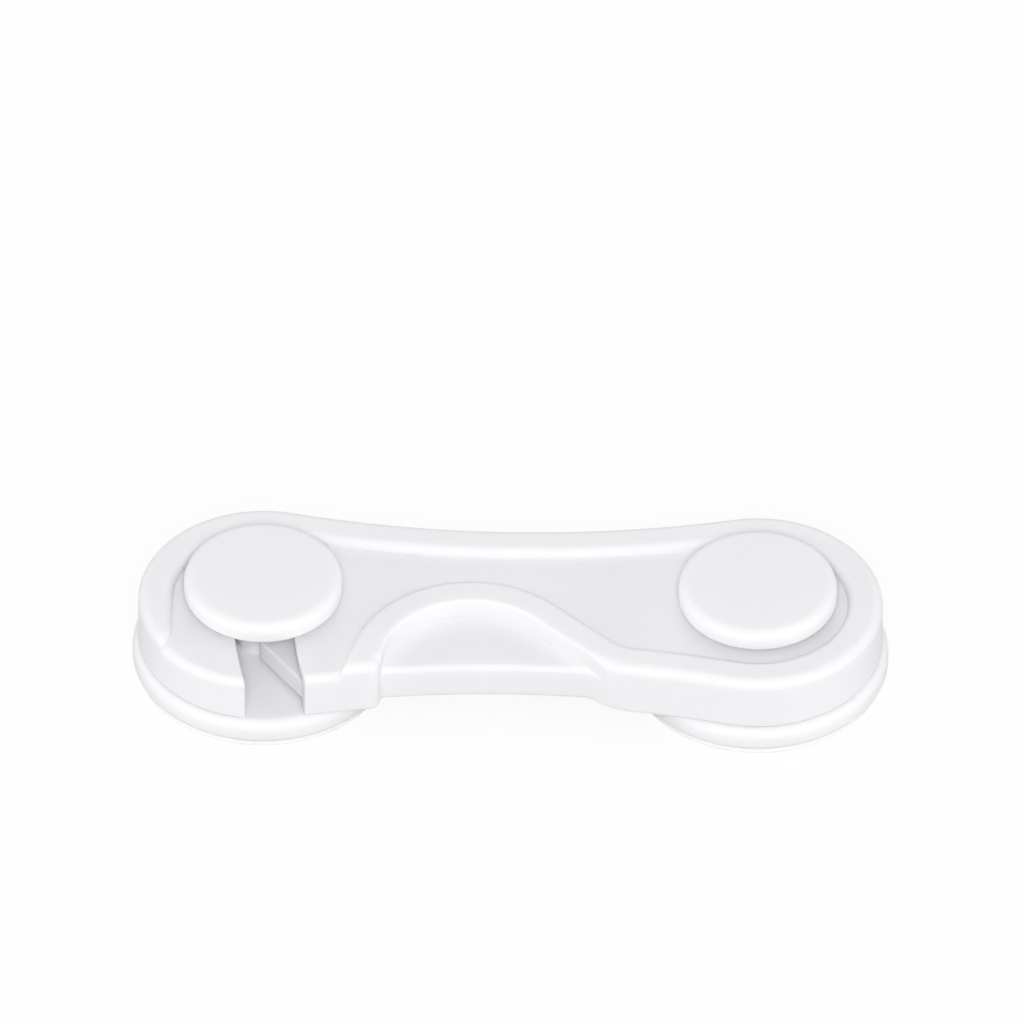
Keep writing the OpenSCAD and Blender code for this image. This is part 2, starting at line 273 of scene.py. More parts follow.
@dataclass(frozen=True)
class Outline:
    """Closed counter-clockwise loop of points in plan, in millimetres."""

    points: np.ndarray

    @classmethod
    def of(cls, *runs: Run) -> Outline:
        """Outline that follows the runs one after the other."""
        return cls(np.concatenate([run.points() for run in runs]))

    @classmethod
    def circle(cls, centre: Point, radius: float) -> Outline:
        """Full circle."""
        return cls.of(Arc(centre, radius, 0.0, 360.0))

    @classmethod
    def strip(cls, path: Sequence[Point], thick: float) -> Outline:
        """Band of even thickness along an open path.

        Each point moves half the thickness to either side along its mitre.

        Args:
            path: The points of the centre line.
            thick: Thickness of the band.

        Returns:
            The closed outline of the band.
        """
        line = np.array(path, float)
        normal = edge_normals(np.diff(line, axis=0))
        before = np.concatenate((normal[:1], normal))
        after = np.concatenate((normal, normal[-1:]))
        aside = mitres(before, after) * thick / 2.0
        return cls(np.concatenate((line + aside, (line - aside)[::-1])))

    def moved(self, distances: np.ndarray) -> np.ndarray:
        """The loop moved outwards, each point along its mitre.

        Args:
            distances: How far each copy of the loop moves, K of them.

        Returns:
            Array of K x N x 2 points.
        """
        after = edge_normals(np.roll(self.points, -1, axis=0) - self.points)
        before = np.roll(after, 1, axis=0)
        return self.points[None] + distances[:, None, None] * mitres(before, after)[None]


@dataclass(frozen=True)
class Shape:
    """Vertices in millimetres and the faces between them."""

    vertices: np.ndarray
    faces: list[list[int]]

    def mesh_object(self, name: str, scale: float = MM) -> bpy.types.Object:
        """New object that holds the shape.

        Args:
            name: Name of the object and its mesh.
            scale: Length of a millimetre in the object's units.

        Returns:
            The object, linked into the scene at the origin.
        """
        mesh = bpy.data.meshes.new(name)
        mesh.from_pydata((self.vertices * scale).tolist(), [], self.faces)
        mesh.validate()
        made = bpy.data.objects.new(name, mesh)
        bpy.context.scene.collection.objects.link(made)
        return made


Step = tuple[Outline, np.ndarray, Join]


def grid_faces(rows: int, columns: int) -> np.ndarray:
    """Quads of a grid whose columns close into a ring.

    Args:
        rows: Number of rings.
        columns: Number of points on each.

    Returns:
        Array with four vertex indices a row.
    """
    row, column = np.meshgrid(np.arange(rows - 1), np.arange(columns), indexing="ij")
    following = (column + 1) % columns
    low, high = row * columns, (row + 1) * columns
    corners = (low + column, low + following, high + following, high + column)
    return np.stack(corners, axis=-1).reshape(-1, 4)


def loft(outline: Outline, profile: np.ndarray) -> Shape:
    """Closed body with flat ends: the outline moved outwards by s at height z, for each (s, z).

    Args:
        outline: The plan that is carried up.
        profile: K x 2 pairs of distance and height, from the bottom to the top.

    Returns:
        The body's shape.
    """
    rings = outline.moved(profile[:, 0])
    rows, columns = rings.shape[:2]
    heights = np.broadcast_to(profile[:, 1, None, None], (rows, columns, 1))
    vertices = np.concatenate((rings, heights), axis=2).reshape(-1, 3)
    bottom = list(range(columns - 1, -1, -1))
    top = list(range((rows - 1) * columns, rows * columns))
    return Shape(vertices, grid_faces(rows, columns).tolist() + [bottom, top])


def revolve(profile: np.ndarray, centre: Point) -> Shape:
    """Surface of revolution: (x + r cos t, y + r sin t, z) for each (r, z) and t round the circle.

    Args:
        profile: K x 2 pairs of radius and height, from the lower end on the axis to the upper one.
        centre: Where the axis stands in plan.

    Returns:
        The shape, with its poles still as rings of no radius.
    """
    turn = np.linspace(0.0, 2.0 * np.pi, ROUND_STEPS, endpoint=False)
    ring = np.stack((np.cos(turn), np.sin(turn)), axis=1)
    plan = profile[:, 0, None, None] * ring[None] + np.array(centre)
    heights = np.broadcast_to(profile[:, 1, None, None], (len(profile), ROUND_STEPS, 1))
    vertices = np.concatenate((plan, heights), axis=2).reshape(-1, 3)
    return Shape(vertices, grid_faces(len(profile), ROUND_STEPS).tolist())


def bend(across: float, height: float, radius: float, start: float, end: float) -> np.ndarray:
    """Part of a circle in a profile: (across, height) + radius (cos, sin), angles in degrees."""
    angle = np.radians(np.linspace(start, end, EDGE_STEPS + 1))
    return np.stack((across + radius * np.cos(angle), height + radius * np.sin(angle)), axis=1)


def low_edge(across: float, low: float, radius: float) -> np.ndarray:
    """Quarter circle from a flat underside to a wall at a distance across."""
    return bend(across - radius, low + radius, radius, -90.0, 0.0)


def high_edge(across: float, high: float, radius: float) -> np.ndarray:
    """Quarter circle from a wall at a distance across to a flat top."""
    return bend(across - radius, high - radius, radius, 0.0, 90.0)


def solid_profile(low: float, high: float, low_radius: float, high_radius: float) -> np.ndarray:
    """Profile of a body with both edges rounded, from its flat underside to its flat top."""
    return np.concatenate((low_edge(0.0, low, low_radius), high_edge(0.0, high, high_radius)))


def pocket_profile(low: float, high: float) -> np.ndarray:
    """Profile of a body that cuts a hollow from below, with straight walls and a flat ceiling."""
    return np.array([[0.0, low], [0.0, high]])


def cutter_profile(low: float, high: float, lip_radius: float = 0.0) -> np.ndarray:
    """Profile of a body that cuts an area open at the top.

    Its flared top rounds the lip of the area. The flare's last step runs on past the lip, so that
    it crosses the face there at an angle.

    Args:
        low: Height of the floor.
        high: Height of the face that is cut.
        lip_radius: Radius of the rounded lip, or 0.

    Returns:
        K x 2 pairs of distance and height.
    """
    lip = np.array([[0.0, high]])
    if lip_radius > 0.0:
        lip = bend(lip_radius, high - lip_radius, lip_radius, 180.0, 90.0)
        lip[-1] += (lip[-1] - lip[-2]) / 2.0
    return np.concatenate(([[0.0, low]], lip, [[lip[-1, 0], high + OVERRUN]]))


def clean_mesh(piece: bpy.types.Object) -> None:
    """Merges doubles, drops faces without area and warns of edges that don't join two faces.

    Args:
        piece: The mesh object, in metres.
    """
    mesh = piece.data
    work = bmesh.new()
    work.from_mesh(mesh)
    bmesh.ops.remove_doubles(work, verts=work.verts, dist=MERGE_DISTANCE)
    bmesh.ops.dissolve_degenerate(work, edges=work.edges, dist=MERGE_DISTANCE)
    work.to_mesh(mesh)
    work.free()
    used = np.empty(len(mesh.loops), np.int32)
    mesh.loops.foreach_get("edge_index", used)
    loose = int(np.sum(np.bincount(used, minlength=len(mesh.edges)) != 2))
    if loose:
        LOG.warning("%s has %d edges that do not join two faces", piece.name, loose)


def settle(piece: bpy.types.Object) -> None:
    """Replaces an object's mesh by what its modifiers make of it.

    Args:
        piece: The object.
    """
    graph = bpy.context.evaluated_depsgraph_get()
    made = bpy.data.meshes.new_from_object(piece.evaluated_get(graph), depsgraph=graph)
    old = piece.data
    piece.modifiers.clear()
    piece.data = made
    bpy.data.meshes.remove(old)
    made.name = piece.name


def shade(piece: bpy.types.Object) -> None:
    """Smooth shading with sharp corners, and normals weighted so that flat faces stay flat.

    Args:
        piece: The mesh object.
    """
    piece.data.shade_smooth()
    piece.data.set_sharp_from_angle(angle=SHARP_ANGLE)
    weighted = piece.modifiers.new("weighted_normals", "WEIGHTED_NORMAL")
    weighted.keep_sharp = True
    weighted.weight = FACE_AREA_WEIGHT
    settle(piece)


def combine(piece: bpy.types.Object, tool: Shape, join: Join) -> None:
    """Cuts a shape out of an object that is still in millimetres, or adds it.

    Args:
        piece: The object that is changed.
        tool: The shape to combine with it.
        join: Whether it is cut out or added.
    """
    other = tool.mesh_object("tool", 1.0)
    modifier = piece.modifiers.new("combine", "BOOLEAN")
    modifier.operation = join.value
    modifier.solver = "EXACT"
    modifier.object = other
    settle(piece)
    mesh = other.data
    bpy.data.objects.remove(other)
    bpy.data.meshes.remove(mesh)


def dress_piece(
    piece: bpy.types.Object, node: str, body: Body, slot: Slot, finishes: Finishes
) -> bpy.types.Object:
    """Finishes a piece that stands for a CAD node.

    Args:
        piece: The mesh object, in metres.
        node: The CAD node that it stands for.
        body: The body that it rides on.
        slot: The record's material slot.
        finishes: The materials by their slots.

    Returns:
        The piece.
    """
    clean_mesh(piece)
    shade(piece)
    piece.data.materials.clear()
    piece.data.materials.append(finishes[slot])
    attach(piece, body.value)
    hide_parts(node)
    return piece


class Graph:
    """Small helper that adds nodes to a tree and links them."""

    def __init__(self, tree: bpy.types.NodeTree) -> None:
        """Takes a tree and empties it."""
        self.tree = tree
        self.tree.nodes.clear()

    @staticmethod
    def fill(node: bpy.types.Node, **values: Any) -> None:
        """Sets a node's inputs, named with underscores for spaces."""
        for name, value in values.items():
            node.inputs[name.replace("_", " ")].default_value = value

    def add(self, kind: str, **values: Any) -> bpy.types.Node:
        """Adds a node.

        Args:
            kind: The node's type.
            values: Values of its inputs, named with underscores for spaces.

        Returns:
            The node.
        """
        node = self.tree.nodes.new(kind)
        self.fill(node, **values)
        return node

    def link(
        self, source: bpy.types.Node, output: SocketKey, target: bpy.types.Node, entry: SocketKey
    ) -> None:
        """Links an output to an input."""
        self.tree.links.new(source.outputs[output], target.inputs[entry])

    def arithmetic(
        self, kind: Arithmetic, source: bpy.types.Node, output: str, other: float = 0.0
    ) -> bpy.types.Node:
        """Works something out of an output and a number.

        Args:
            kind: What is done with the two.
            source: The node that the first value comes from.
            output: Its output.
            other: The second value.

        Returns:
            The node whose Value is the result.
        """
        node = self.tree.nodes.new("ShaderNodeMath")
        node.operation = kind.value
        node.inputs[1].default_value = other
        self.link(source, output, node, 0)
        return node

    def mix(
        self, factor: bpy.types.Node, output: str, first: bpy.types.Node, second: bpy.types.Node
    ) -> bpy.types.Node:
        """Mixes two shaders.

        Args:
            factor: The node that gives the second one's share.
            output: Its output.
            first: The shader where that is 0.
            second: The shader where it is 1.

        Returns:
            The node whose Shader is the mix.
        """
        node = self.add("ShaderNodeMixShader")
        self.link(factor, output, node, 0)
        self.link(first, 0, node, 1)
        self.link(second, 0, node, 2)
        return node


@dataclass(frozen=True)
class Marks:
    """Noise over a surface: features per metre, octaves of detail and how much those count."""

    scale: float
    detail: float
    roughness: float


class Surface(Graph):
    """Nodes of a material, with one surface shader and the object's own coordinates."""

    def __init__(self, name: str) -> None:
        """Starts a material.

        Args:
            name: Its name.
        """
        self.material = bpy.data.materials.new(name)
        self.material.use_nodes = True
        super().__init__(self.material.node_tree)
        self.shader = self.add("ShaderNodeBsdfPrincipled")
        self.output = self.add("ShaderNodeOutputMaterial")
        self.link(self.shader, "BSDF", self.output, "Surface")
        self.place = self.add("ShaderNodeTexCoord")

    def noise(self, marks: Marks) -> bpy.types.Node:
        """Noise over the object's own coordinates.

        Args:
            marks: Its size and detail.

        Returns:
            The node whose Fac is the noise.
        """
        scale, detail, roughness = marks.scale, marks.detail, marks.roughness
        node = self.add("ShaderNodeTexNoise", Scale=scale, Detail=detail, Roughness=roughness)
        self.link(self.place, "Object", node, "Vector")
        return node

    def tint(self, factor: bpy.types.Node, output: str, first: Colour, second: Colour) -> None:
        """Colours the surface between two colours.

        Args:
            factor: The node that gives the second colour's share.
            output: Its output.
            first: The colour where that is 0.
            second: The colour where it is 1.
        """
        node = self.tree.nodes.new("ShaderNodeMix")
        node.data_type = "RGBA"
        node.inputs[MIX_FIRST].default_value = first
        node.inputs[MIX_SECOND].default_value = second
        self.link(factor, output, node, MIX_FACTOR)
        self.link(node, MIX_RESULT, self.shader, "Base Color")

    def roughen(self, noise: bpy.types.Node, smooth: float, rough: float) -> None:
        """Spreads the surface's roughness from smooth to rough by a noise.

        Args:
            noise: The noise.
            smooth: Roughness where it is 0.
            rough: Roughness where it is 1.
        """
        node = self.add("ShaderNodeMapRange", To_Min=smooth, To_Max=rough)
        self.link(noise, "Fac", node, "Value")
        self.link(node, "Result", self.shader, "Roughness")

    def relief(self, source: bpy.types.Node, output: str, depth: float, strength: float) -> None:
        """Raises the surface by a bump.

        Args:
            source: The node that gives the height.
            output: Its output.
            depth: Depth in metres.
            strength: Share of the bump that shows.
        """
        node = self.add("ShaderNodeBump", Strength=strength, Distance=depth)
        self.link(source, output, node, "Height")
        self.link(node, "Normal", self.shader, "Normal")


@dataclass(frozen=True)
class PlasticFinish:
    """Satin white moulded plastic, with the grain of an eroded mould and faint flow marks."""

    name: str = "satin_white_plastic"
    tone: Colour = (0.895, 0.893, 0.903, 1.0)
    flow_tone: Colour = (0.88, 0.878, 0.89, 1.0)
    flow: Marks = Marks(70.0, 3.0, 0.55)
    grain: Marks = Marks(3200.0, 2.0, 0.5)
    grain_depth: float = 0.00001
    grain_strength: float = 0.5
    smooth: float = 0.54
    rough: float = 0.66
    gloss_share: float = 0.08
    depth_share: float = 0.6
    depth_reach: float = 0.0012
    depth_balance: tuple[float, float, float] = (1.0, 1.0, 1.0)

    def material(self) -> bpy.types.Material:
        """Flow marks in the colour, grain in the roughness and relief, and a little depth.

        Returns:
            The material.
        """
        surface = Surface(self.name)
        flow = surface.noise(self.flow)
        grain = surface.noise(self.grain)
        surface.tint(flow, "Fac", self.tone, self.flow_tone)
        surface.roughen(grain, self.smooth, self.rough)
        surface.relief(grain, "Fac", self.grain_depth, self.grain_strength)
        surface.fill(
            surface.shader,
            Specular_IOR_Level=self.gloss_share,
            Subsurface_Weight=self.depth_share,
            Subsurface_Radius=self.depth_balance,
            Subsurface_Scale=self.depth_reach,
        )
        return surface.material


@dataclass(frozen=True)
class FoamFinish:
    """Closed-cell foam, matt, with its cut cells showing at the edge."""

    name: str = "closed_cell_foam"
    tone: Colour = (0.93, 0.925, 0.9, 1.0)
    # Painted shade: this darker colour lies in the sunk middle of each cut cell.
    pit_shade_tone: Colour = (0.86, 0.85, 0.82, 1.0)
    cell_scale: float = 4200.0
    cell_depth: float = 0.00006
    cell_strength: float = 0.6
    roughness: float = 0.85

    def material(self) -> bpy.types.Material:
        """Round cells in relief, with painted shade that darkens the sunk middle of each cell.

        Returns:
            The material.
        """
        surface = Surface(self.name)
        cells = surface.add("ShaderNodeTexVoronoi", Scale=self.cell_scale)
        surface.link(surface.place, "Object", cells, "Vector")
        # Painted shade in the cells' pits: darkest where the relief is lowest.
        surface.tint(cells, "Distance", self.pit_shade_tone, self.tone)
        surface.fill(surface.shader, Roughness=self.roughness)
        surface.relief(cells, "Distance", self.cell_depth, self.cell_strength)
        return surface.material


@dataclass(frozen=True)
class LinerFinish:
    """Coated release paper with a faint printed pattern of slanting dashes."""

    name: str = "release_paper"
    paper: Colour = (0.84, 0.84, 0.81, 1.0)
    print_tone: Colour = (0.72, 0.715, 0.67, 1.0)
    row_pitch: float = 0.0042
    row_level: float = 0.72
    dash_pitch: float = 0.0064
    dash_level: float = 0.1
    dash_slant: float = math.radians(32.0)
    fibre: Marks = Marks(1500.0, 4.0, 0.6)
    fibre_depth: float = 0.00001
    fibre_strength: float = 0.4
    smooth: float = 0.4
    rough: float = 0.58

    def material(self) -> bpy.types.Material:
        """Dashes as the product of two sets of stripes, and fibres in the relief.

        Returns:
            The material.
        """
        surface = Surface(self.name)
        turned = surface.add("ShaderNodeMapping", Rotation=(0.0, 0.0, self.dash_slant))
        surface.link(surface.place, "Object", turned, "Vector")
        axes = surface.add("ShaderNodeSeparateXYZ")
        surface.link(turned, "Vector", axes, "Vector")
        dashes = self.stripes(surface, axes, "X", self.dash_pitch, self.dash_level)
        rows = self.stripes(surface, axes, "Y", self.row_pitch, self.row_level)
        both = surface.arithmetic(Arithmetic.MULTIPLY, dashes, "Value")
        surface.link(rows, "Value", both, 1)
        surface.tint(both, "Value", self.paper, self.print_tone)
        fibre = surface.noise(self.fibre)
        surface.roughen(fibre, self.smooth, self.rough)
        surface.relief(fibre, "Fac", self.fibre_depth, self.fibre_strength)
        return surface.material

    @staticmethod
    def stripes(
        surface: Surface, axes: bpy.types.Node, axis: str, pitch: float, level: float
    ) -> bpy.types.Node:
        """Value of 1 on stripes across an axis and 0 between them.

        Args:
            surface: The material's nodes.
            axes: Node that gives the coordinates apart.
            axis: Name of the coordinate.
            pitch: Distance between stripes in metres.
            level: Where sin(2 pi x / pitch) is above this, there is a stripe.

        Returns:
            The node whose Value is the stripes.
        """
        turns = surface.arithmetic(Arithmetic.MULTIPLY, axes, axis, 2.0 * math.pi / pitch)
        wave = surface.arithmetic(Arithmetic.SINE, turns, "Value")
        return surface.arithmetic(Arithmetic.IS_MORE, wave, "Value", level)


@dataclass(frozen=True)
class Layout:
    """Places and heights that the frame gives, in millimetres."""

    pivot: Point
    catch: Point
    finger_root: Point
    lever_low: float
    lever_high: float
    lobe_radius: float

    @classmethod
    def read(cls, frame: dict[str, Any]) -> Layout:
        """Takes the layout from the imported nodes' boxes and the joints' places.

        Args:
            frame: The loaded frame.

        Returns:
            The layout.
        """
        places = {joint["name"]: joint["pos_m"] for joint in frame["joints"]}
        low, high = cls.box("lever_body")
        return cls(
            pivot=cls.in_plan(places["lever_swing"]),
            catch=cls.middle("catch_knob"),
            finger_root=cls.in_plan(places["finger_bend"]),
            lever_low=float(low[2]),
            lever_high=float(high[2]),
            lobe_radius=float(high[1] - low[1]) / 2.0,
        )

    @staticmethod
    def in_plan(place: Sequence[float]) -> Point:
        """X and Y of a place in metres, in millimetres."""
        return place[0] / MM, place[1] / MM

    @staticmethod
    def box(node: str) -> tuple[np.ndarray, np.ndarray]:
        """Lowest and highest corner of a CAD node, in millimetres."""
        low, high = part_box(node)
        return np.array(low) / MM, np.array(high) / MM

    @classmethod
    def middle(cls, node: str) -> Point:
        """Middle of a CAD node's box in plan."""
        low, high = cls.box(node)
        return as_point((low + high) / 2.0)

    def post(self, end: End) -> Point:
        """Where the post of an end stands."""
        return self.pivot if end is End.PIVOT else self.catch


@dataclass(frozen=True)
class Lever:
    """The bone-shaped lever, one hollow moulding with a raised rim and a thumb recess.

    Lengths are in millimetres and angles in degrees. The rib's knee and the back ribs' places are
    shares of half the distance between the posts.
    """

    layout: Layout
    waist_half_width: float = 13.3
    edge_radius: float = 1.4
    foot_radius: float = 0.25
    wall: float = 1.9
    plate: float = 1.4
    rim: float = 4.7
    rim_bend: float = 50.0
    rim_bend_radius: float = 5.0
    rim_bend_front: float = 6.5
    field_depth: float = 1.3
    field_lip_radius: float = 1.1
    mouth_radius: float = 1.2
    hub_radius: float = 5.48
    bore_radius: float = 3.78
    bore_lip_radius: float = 0.2
    arch_radius: float = 12.2
    arch_offset: float = 5.0
    arch_front: float = 13.4
    arch_rim: float = 4.3
    arch_end_angle: float = 185.0
    lead_angle: float = 165.0
    tail_angle: float = 48.0
    tail_length: float = 14.64
    left_blend_radius: float = 1.8
    right_blend_radius: float = 6.0
    recess_depth: float = 2.8
    recess_lip_radius: float = 0.5
    ledge_radius: float = 0.8
    waist_step: float = 2.0
    step_catch: float = 17.3
    step_pivot: float = 9.8
    corner_radius: float = 1.5
    least_corner_radius: float = 0.4
    fillet_radius: float = 0.7
    soft_in_radius: float = 2.5
    soft_out_radius: float = 12.0
    slot_radius: float = 4.0
    slot_lip_radius: float = 0.2
    slot_sweep: float = 20.0
    guide: float = 1.3
    guide_sweep: float = 12.2
    seat_start: float = 15.0
    rib_start_angle: float = 113.0
    rib_knee: Point = (-0.45, 0.09)
    rib_seat_angle: float = 40.0
    back_rib_places: Point = (-0.135, 0.205)
    back_rib_thick: float = 1.0
    back_rib_reach: float = 0.7
    back_rib_drop: float = 3.0
    knuckle_groove_radius: float = 0.95
    knuckle_groove_gap: float = 0.175
    tuck: float = 0.02

    @property
    def half_spacing(self) -> float:
        """Half of the distance between the posts."""
        return self.layout.pivot[0]

    @property
    def side_radius(self) -> float:
        """Radius of the long sides, which touch both round ends."""
        lobe, waist = self.layout.lobe_radius, self.waist_half_width
        return (self.half_spacing**2 + waist**2 - lobe**2) / (2.0 * (lobe - waist))

    @property
    def side_centre(self) -> float:
        """How far the centre of a long side's arc lies from the middle."""
        return self.waist_half_width + self.side_radius

    @property
    def front(self) -> Point:
        """Centre of the front side's arc."""
        return 0.0, -self.side_centre

    @property
    def side_spread(self) -> float:
        """Angle at which the sides meet the round ends, from straight across."""
        return math.degrees(math.atan(self.half_spacing / self.side_centre))

    @property
    def arch(self) -> Point:
        """Centre of the arch of the thumb recess."""
        return -self.arch_offset, -self.arch_front

    @property
    def recess_high(self) -> float:
        """Height of the floor of the thumb recess."""
        return self.layout.lever_high - self.recess_depth

    @property
    def field_high(self) -> float:
        """Height of the sunk field."""
        return self.layout.lever_high - self.field_depth

    @property
    def ceiling(self) -> float:
        """Height of the hollow's ceiling."""
        return self.field_high - self.plate

    @property
    def under(self) -> float:
        """Height at which cuts from below start."""
        return self.layout.lever_low - OVERRUN

    @property
    def clear(self) -> float:
        """Y of a line in front of the lever."""
        return -self.layout.lobe_radius - 2.0 * OVERRUN

    def ends_and_back(self, inset: float) -> list[Run]:
        """Pivot end, back side and catch end of the outline.

        Args:
            inset: How far they are moved inwards.

        Returns:
            The three arcs.
        """
        spread, lobe = self.side_spread, self.layout.lobe_radius - inset
        back = (0.0, self.side_centre)
        return [
            Arc(self.layout.pivot, lobe, -90.0 - spread, 90.0 + spread),
            Arc(back, self.side_radius + inset, -90.0 + spread, -90.0 - spread),
            Arc(self.layout.catch, lobe, 90.0 - spread, 270.0 + spread),
        ]

    def body_outline(self, inset: float) -> Outline:
        """Outline with the waist stepped in on the front side.

        The waist is an arc about the front side's centre. On the catch side a round corner and a
        fillet lead to it, on the pivot side a tight hollow curve and a wide round one that make a
        soft step.

        Args:
            inset: How far it is moved inwards.

        Returns:
            The outline.
        """
        front, spread = self.front, self.side_spread
        side = self.side_radius + inset
        waist = self.side_radius + self.waist_step + inset
        corner = max(self.corner_radius - inset, self.least_corner_radius)
        fillet = self.fillet_radius + inset
        corner_at, fillet_at = side + corner, waist - fillet
        corner_share = (self.step_catch + inset + corner) / corner_at
        corner_angle = 90.0 + math.degrees(math.asin(corner_share))
        fillet_angle = corner_angle - turn_between(fillet_at, corner_at, fillet + corner)
        soft_in, soft_out = self.soft_in_radius + inset, self.soft_out_radius - inset
        soft_in_at, soft_out_at = waist - soft_in, side + soft_out
        soft_in_angle = 90.0 - math.degrees(math.asin(self.step_pivot / soft_in_at))
        soft_turn = turn_between(soft_in_at, soft_out_at, soft_in + soft_out)
        soft_out_angle = soft_in_angle - soft_turn
        corner_c = polar(front, corner_at, corner_angle)
        fillet_c = polar(front, fillet_at, fillet_angle)
        soft_in_c = polar(front, soft_in_at, soft_in_angle)
        soft_out_c = polar(front, soft_out_at, soft_out_angle)
        corner_start, soft_out_end = corner_angle + 180.0, soft_out_angle + 180.0
        return Outline.of(
            *self.ends_and_back(inset),
            Arc(front, side, 90.0 + spread, corner_angle),
            Arc(corner_c, corner, corner_start, bearing(corner_c, fillet_c, corner_start)),
            Arc(fillet_c, fillet, bearing(fillet_c, corner_c, fillet_angle), fillet_angle),
            Arc(front, waist, fillet_angle, soft_in_angle),
            Arc(soft_in_c, soft_in, soft_in_angle, bearing(soft_in_c, soft_out_c, 0.0)),
            Arc(soft_out_c, soft_out, bearing(soft_out_c, soft_in_c, 180.0), soft_out_end),
            Arc(front, side, soft_out_angle, 90.0 - spread),
        )

    def tail_runs(self, side: float, around: float) -> list[Run]:
        """Straight tail of a band round the thumb recess, a soft curve and the front side.

        The soft curve's centre lies its radius beside the tail and touches the front side: it is
        where the line beside the tail crosses a circle about the front side's centre.

        Args:
            side: Radius of the front side.
            around: Radius of the band round the arch.

        Returns:
            The three stretches of the outline, up to the pivot end.
        """
        front, right = self.front, self.right_blend_radius
        tangent = np.array(polar(self.arch, around, self.tail_angle))
        outward = np.array(polar((0.0, 0.0), 1.0, self.tail_angle))
        along = np.array((outward[1], -outward[0]))
        start = tangent + outward * right - np.array(front)
        ahead = float(start @ along)
        reach = -ahead - math.sqrt(ahead**2 - float(start @ start) + (side + right) ** 2)
        tail = tangent + along * reach
        right_c = as_point(tail + outward * right)
        right_start = self.tail_angle + 180.0
        return [
            Line(as_point(tangent), as_point(tail)),
            Arc(right_c, right, right_start, bearing(right_c, front, right_start)),
            Arc(front, side, bearing(front, right_c), 90.0 - self.side_spread),
        ]

    def hollow_outline(self) -> Outline:
        """The upper hollow: inside the side walls and clear of the plate under the recess.

        Returns:
            The outline, with a round corner between the front side and the arch.
        """
        front, arch, left = self.front, self.arch, self.left_blend_radius
        side, around = self.side_radius + self.wall, self.arch_radius + self.plate
        left_c = circles_meet(front, side + left, arch, around + left, True)
        return Outline.of(
            *self.ends_and_back(self.wall),
            Arc(front, side, 90.0 + self.side_spread, bearing(front, left_c)),
            Arc(left_c, left, bearing(left_c, front, -180.0), bearing(left_c, arch, -180.0)),
            Arc(arch, around, bearing(arch, left_c, 0.0), self.tail_angle),
            *self.tail_runs(side, around),
        )

    @property
    def lead(self) -> tuple[Point, Point]:
        """Straight front end of the arch rim's outer side.

        Returns:
            Where it leaves the arch, and a point past the lever.
        """
        start = polar(self.arch, self.arch_radius + self.arch_rim, self.lead_angle)
        length = (self.clear - start[1]) / math.cos(math.radians(self.lead_angle))
        return start, polar(start, length, self.lead_angle + 90.0)

    def rim_end(self, inset: float) -> tuple[list[Run], Point]:
        """Inner side of the catch end's rim where it bends outwards to the front.

        Args:
            inset: How far it is moved into the field.

        Returns:
            The stretches from the bend to a point in front of the lever, and that point.
        """
        catch, lobe, radius = self.layout.catch, self.layout.lobe_radius, self.rim_bend_radius
        inner = catch[0] - lobe + self.rim
        centre = (inner - radius, catch[1] - self.rim_bend_front)
        last = polar(centre, radius + inset, -self.rim_bend)
        out = polar(last, lobe / 2.0, -self.rim_bend - 90.0)
        corner = (out[0], self.clear)
        turn = Arc(centre, radius + inset, 0.0, -self.rim_bend)
        return [turn, Line(last, out), Line(out, corner)], corner

    def field_outline(self) -> Outline:
        """The sunk field: inside the rims, and open to the front on both sides of the slot.

        Returns:
            The outline.
        """
        catch, lobe = self.layout.catch, self.layout.lobe_radius - self.rim
        around = self.arch_radius + self.arch_rim
        lead, outer = self.lead
        rim_end, corner = self.rim_end(0.0)
        left = (catch[0] - lobe, catch[1])
        return Outline.of(
            *self.ends_and_back(self.rim)[:2],
            Arc(catch, lobe, 90.0 - self.side_spread, 180.0),
            Line(left, (left[0], left[1] - self.rim_bend_front)),
            *rim_end,
            Line(corner, outer),
            Line(outer, lead),
            Arc(self.arch, around, self.lead_angle, self.tail_angle),
            *self.tail_runs(self.side_radius + self.rim, around),
        )

    def mouth_outline(self) -> Outline:
        """The field's open front, a hair narrower than the field.

        Returns:
            The outline.
        """
        catch, tuck = self.layout.catch, self.tuck
        lead, outer = self.lead
        rim_end, corner = self.rim_end(tuck)
        top = catch[1] - self.rim_bend_front
        left = (catch[0] - self.layout.lobe_radius + self.rim + tuck, top)
        low_right, right = (outer[0] - tuck, outer[1]), (lead[0] - tuck, lead[1])
        high_right = (right[0], top)
        return Outline.of(
            *rim_end,
            Line(corner, low_right),
            Line(low_right, right),
            Line(right, high_right),
            Line(high_right, left),
        )

    def recess_outline(self) -> Outline:
        """Arch and straight tail of the thumb recess, closed in front of the lever.

        Returns:
            The outline.
        """
        tangent = polar(self.arch, self.arch_radius, self.tail_angle)
        tail = polar(tangent, self.tail_length, self.tail_angle - 90.0)
        left = polar(self.arch, self.arch_radius, self.arch_end_angle)
        return Outline.of(
            Line(tail, tangent),
            Arc(self.arch, self.arch_radius, self.tail_angle, self.arch_end_angle),
            Line(left, (left[0], self.clear)),
            Line((left[0], self.clear), (tail[0], self.clear)),
            Line((tail[0], self.clear), tail),
        )

    def slot_outline(self) -> Outline:
        """Path of the catch post: arcs about the pivot, with a round end at the post.

        Returns:
            The outline.
        """
        spacing, last = 2.0 * self.half_spacing, 180.0 + self.slot_sweep
        near, far = spacing - self.slot_radius, spacing + self.slot_radius
        pivot = self.layout.pivot
        return Outline.of(
            Arc(pivot, far, 180.0, last),
            Line(polar(pivot, far, last), polar(pivot, near, last)),
            Arc(pivot, near, last, 180.0),
            Arc(self.layout.catch, self.slot_radius, 0.0, 180.0),
        )

